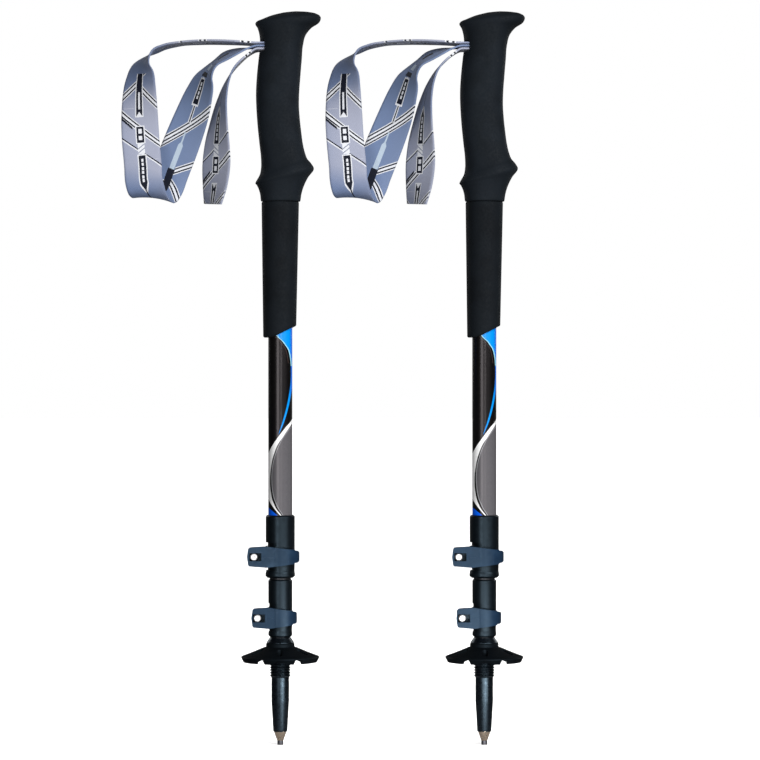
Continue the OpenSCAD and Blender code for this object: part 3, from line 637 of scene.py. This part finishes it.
def strap(name, material):
    """One length of webbing with rounded edges, and that length in millimetres.

    Its UV map holds metres across and along, as the print counts them.
    """
    path = spline(strap_stations(), 1.6)
    half = WEBBING / 2
    section = [(-1, 0), (-1, 0.55), (-0.985, 0.9)]
    section += [(k / 8, 1) for k in range(-7, 8)] + [(0.985, 0.9), (1, 0.55)]
    section += [(-x, -y) for x, y in section]
    rings, run = [], [0.0]
    for i, row in enumerate(path):
        centre = Vector(row[:3])
        before, after = (Vector(path[max(0, min(len(path) - 1, j))][:3]) for j in (i - 1, i + 1))
        heading = (after - before).normalized()
        raw = Vector(row[3:6])
        across = (raw - raw.dot(heading) * heading).normalized()
        out = heading.cross(across)
        if i:
            run.append(run[-1] + (centre - before).length)
        rings.append([tuple(centre + across * u * row[6] / 2 + out * w * half) for u, w in section])
    # the print counts from the tail's start, from the loop's top corner and from above its fold
    pin = next(i for i, row in enumerate(path) if row[0] > STRAP_PIN[0])
    top = next(i for i, row in enumerate(path) if i > pin and row[0] < -100 and row[2] < 504.5)
    fold = next(i for i, row in enumerate(path) if i > top and row[1] > 0 and row[2] < 440)
    foot = next(i for i, row in enumerate(path) if i > fold and row[2] > 418)
    counted = [r + TAIL_START if i < pin else r - run[top] if i < fold else r - run[foot] + BACK_PRINT
               for i, r in enumerate(run)]
    piece = new_object(name, *loft(rings), material, sharp_angle=60)
    layer = piece.data.uv_layers.new(name="webbing")
    n = len(section)
    for loop in piece.data.loops:
        ring, k = divmod(loop.vertex_index, n)
        layer.data[loop.index].uv = (section[k][0] * path[ring][6] / 2 * MM, counted[ring] * MM)
    return piece, run[-1]


# ---- Materials ----

COOL = (0.56, 0.80, 1.0)  # tint of the plastics' highlights
foam_grip = foam("grip_foam", (0.0060, 0.0088, 0.0122), (0.0090, 0.0128, 0.0178))
foam_sleeve = foam("sleeve_foam", (0.0038, 0.0055, 0.0076), (0.0058, 0.0084, 0.0116))
webbing_print = webbing_material()
tube_print = printed_tube_material()
tube_black = sliding_tube_material()
nylon = moulded(
    "black_nylon", (0.008, 0.009, 0.010), (0.012, 0.013, 0.015),
    roughness=0.5, grain=3.0, grain_depth=0.02)
clamp_black = moulded(
    "clamp_plastic", (0.0016, 0.0024, 0.0034), (0.0026, 0.0040, 0.0056),
    roughness=0.38, grain=3.5, grain_depth=0.012, gloss=0.40, tint=COOL)
lever_blue = moulded(
    "lever_plastic", (0.0075, 0.0200, 0.0440), (0.0100, 0.0265, 0.0560),
    roughness=0.38, grain=3.5, grain_depth=0.015, gloss=0.34, tint=COOL)
ferrule_black = moulded(
    "ferrule_plastic", (0.0012, 0.0016, 0.0024), (0.0020, 0.0026, 0.0040),
    roughness=0.30, grain=1.2, grain_depth=0.003, gloss=0.6, tint=COOL)
basket_black = moulded(
    "basket_plastic", (0.0020, 0.0027, 0.0036), (0.0032, 0.0042, 0.0054),
    roughness=0.50, grain=2.5, grain_depth=0.03, gloss=0.10, tint=COOL)
steel = metal("blackened_steel", (0.035, 0.036, 0.040), roughness=0.35, lines_per_mm=2.0)
nickel = metal("bright_nickel", (0.96, 0.96, 0.96), roughness=0.50, lines_per_mm=1.5)
brass = metal("pale_gold", (0.95, 0.76, 0.60), roughness=0.30, lines_per_mm=1.2)
carbide = metal("carbide", (0.10, 0.10, 0.11), roughness=0.42, lines_per_mm=2.5, depth=0.02)

# CAD nodes that keep their shape with rounded edges: piece, body, slot, edge width, material
SOFTENED = [
    ("upper_clamp_body", "upper", "clamp_plastic", 0.35, clamp_black),
    ("upper_clamp_lever", "upper_lever", "lever_plastic", 0.5, lever_blue),
    ("lower_clamp_body", "middle", "clamp_plastic", 0.35, clamp_black),
    ("lower_clamp_lever", "lower_lever", "lever_plastic", 0.5, lever_blue),
    ("upper_clamp_barrel_pin", "upper", "steel_hardware", 0.15, steel),
    ("lower_clamp_barrel_pin", "middle", "steel_hardware", 0.15, steel),
    ("upper_clamp_screw", "upper_screw", "screw_metal", 0.2, nickel),
    ("lower_clamp_screw", "lower_screw", "screw_metal", 0.2, nickel),
    ("upper_clamp_nut", "upper", "screw_metal", 0.2, nickel),
    ("lower_clamp_nut", "middle", "screw_metal", 0.2, nickel),
    ("tip_ferrule", "lower", "ferrule_plastic", 0.2, ferrule_black),
    ("tip_holder", "lower", "tip_brass", 0.15, brass),
    ("carbide_tip", "lower", "carbide", 0.12, carbide),
    ("basket", "basket_body", "basket_plastic", 0.4, basket_black),
]
# CAD nodes inside the poles, which keep their own mesh
PLAIN = {
    "grip_core": nylon, "strap_wedge": nylon, "strap_pin": steel, "upper_tube_plug": nylon,
    "middle_guide_bush": nylon, "lower_guide_bush": nylon,
}

for side, offset in POLES.items():
    def named(piece):
        return f"{side}_{piece}"

    seat(grip(named("grip_skin"), foam_grip), offset, named("upper"), "grip_foam", named("grip"))
    seat(extension(named("sleeve_skin"), foam_sleeve), offset, named("upper"), "extension_foam",
         named("grip_extension"))
    for part, body, material, slot, size in (
        ("upper_tube", "upper", tube_print, "printed_tube", (9.0, 0.8, 131, 500)),
        ("middle_tube", "middle", tube_black, "anodised_tube", (8.0, 0.8, 87, 482)),
        ("lower_tube", "lower", tube_black, "anodised_tube", (7.0, 0.8, 67, 452)),
    ):
        seat(tube(named(part + "_skin"), material, *size), offset, named(body), slot, named(part))
    for part, body, slot, width, material in SOFTENED:
        piece = softened(named(part + "_skin"), named(part), offset, width, material)
        seat(piece, offset, named(body), slot, named(part))
    for part, material in PLAIN.items():
        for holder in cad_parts[named(part)].material_slots:
            holder.material = material

    webbing, length = strap(named("webbing"), webbing_print)
    webbing.location.x = offset * MM
    bpy.context.view_layer.update()
    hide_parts(named("strap"), named("strap_anchor"))
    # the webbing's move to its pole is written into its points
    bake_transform(webbing)

# ---- Stage, light and camera ----

CENTRE = Vector((0.0748, 0.0, 0.2735))  # the point that the camera faces, between the axes


def stage_floor():
    """A pale floor, bright to the camera alone.

    What the object sees of it is dim, a little less so round the tips, so that black pieces stay black.
    """
    s = Shader("pale_floor", Roughness=0.9, Specular_IOR_Level=0.05)
    cloud = s.node("TexNoise", {"Vector": s.place(), "Scale": 0.002}).outputs[0]
    tone = s.mix(cloud, (0.88, 0.88, 0.88), (0.91, 0.91, 0.91))
    seen = s.node("LightPath").outputs["Is Camera Ray"]
    away = [s.node("VectorMath", {0: s.place(), 1: (offset, 0, 0)}, operation="DISTANCE").outputs["Value"]
            for offset in POLES.values()]
    distance = s.math("MINIMUM", *away)
    answer = s.mix(s.ramp(distance, 25.0, 120.0), (0.13, 0.13, 0.13), (0.02, 0.02, 0.02))
    s.finish(Base_Color=s.mix(seen, answer, tone))
    points, faces = loft([circle(r, 0.0, 64) for r in (10, 400, 2000, 20000)])
    without_lid = faces[:-1]
    floor = new_object("floor", points, without_lid, s.material)
    return floor


def lamp(name, data, spot, aim):
    piece = bpy.data.objects.new(name, data)
    piece.location = spot
    piece.rotation_euler = (Vector(aim) - Vector(spot)).to_track_quat("-Z", "Y").to_euler()
    bpy.context.scene.collection.objects.link(piece)
    return piece


def softbox(name, azimuth, distance, heights, width, radiance, centre_x=CENTRE.x):
    """An upright softbox that faces the line at centre_x, azimuth degrees to the camera's right."""
    low, high = heights
    turn = math.radians(azimuth)
    spot = (centre_x + distance * math.sin(turn), -distance * math.cos(turn), (low + high) / 2)
    light = bpy.data.lights.new(name, "AREA")
    light.shape, light.size, light.size_y = "RECTANGLE", width, high - low
    light.energy = radiance * math.pi * width * (high - low)
    lamp(name, light, spot, (centre_x, 0, spot[2])).visible_camera = False


def overhead(floor, strength):
    """Even light on the floor alone."""
    light = bpy.data.lights.new("overhead", "SUN")
    light.energy, light.angle = strength, math.radians(60)
    sun = lamp("overhead", light, (0, 0, 3), (0, 0, 0))
    only = bpy.data.collections.new("floor_only")
    only.objects.link(floor)
    sun.light_linking.receiver_collection = only


def sky(ambient):
    """White behind everything, and a dimmer even light on the object."""
    world = bpy.data.worlds.new("studio")
    world.use_nodes = True
    bpy.context.scene.world = world
    tree = world.node_tree
    tree.nodes.clear()
    output = tree.nodes.new("ShaderNodeOutputWorld")
    mix = tree.nodes.new("ShaderNodeMixShader")
    dim, bright = (tree.nodes.new("ShaderNodeBackground") for _ in range(2))
    dim.inputs["Strength"].default_value = ambient
    bright.inputs["Strength"].default_value = 1.0
    for background in (dim, bright):
        background.inputs["Color"].default_value = (1, 1, 1, 1)
    tree.links.new(tree.nodes.new("ShaderNodeLightPath").outputs["Is Camera Ray"], mix.inputs[0])
    tree.links.new(dim.outputs[0], mix.inputs[1])
    tree.links.new(bright.outputs[0], mix.inputs[2])
    tree.links.new(mix.outputs[0], output.inputs[0])


overhead(stage_floor(), strength=4.6)
sky(ambient=0.035)
FAR, NEAR = 2.3, 0.35  # distances of the softboxes
softbox("key", 36, FAR, (0.8, 2.2), width=1.7, radiance=9.0)
softbox("low_left", -22, FAR, (0.0, 0.55), width=0.9, radiance=8.0)
softbox("front_strip", 8, FAR, (0.1, 0.5), width=0.35, radiance=10.0)
for side, offset in POLES.items():
    softbox(side + "_foot_strip", 24, NEAR, (0.0, 0.035), width=0.24, radiance=18.0, centre_x=offset * MM)
for name, azimuth in (("behind_right", 140), ("behind_left", 220)):
    softbox(name, azimuth, FAR, (0.4, 1.4), width=0.8, radiance=2.0)

camera = bpy.data.cameras.new("camera")
camera.lens, camera.clip_end = 150, 100
eye = bpy.data.objects.new("camera", camera)
eye.location = CENTRE + Vector((0, -2.375, 0))
eye.rotation_euler = (math.pi / 2, 0, 0)
bpy.context.scene.collection.objects.link(eye)
bpy.context.scene.camera = eye
bpy.context.scene.view_settings.view_transform = "Standard"
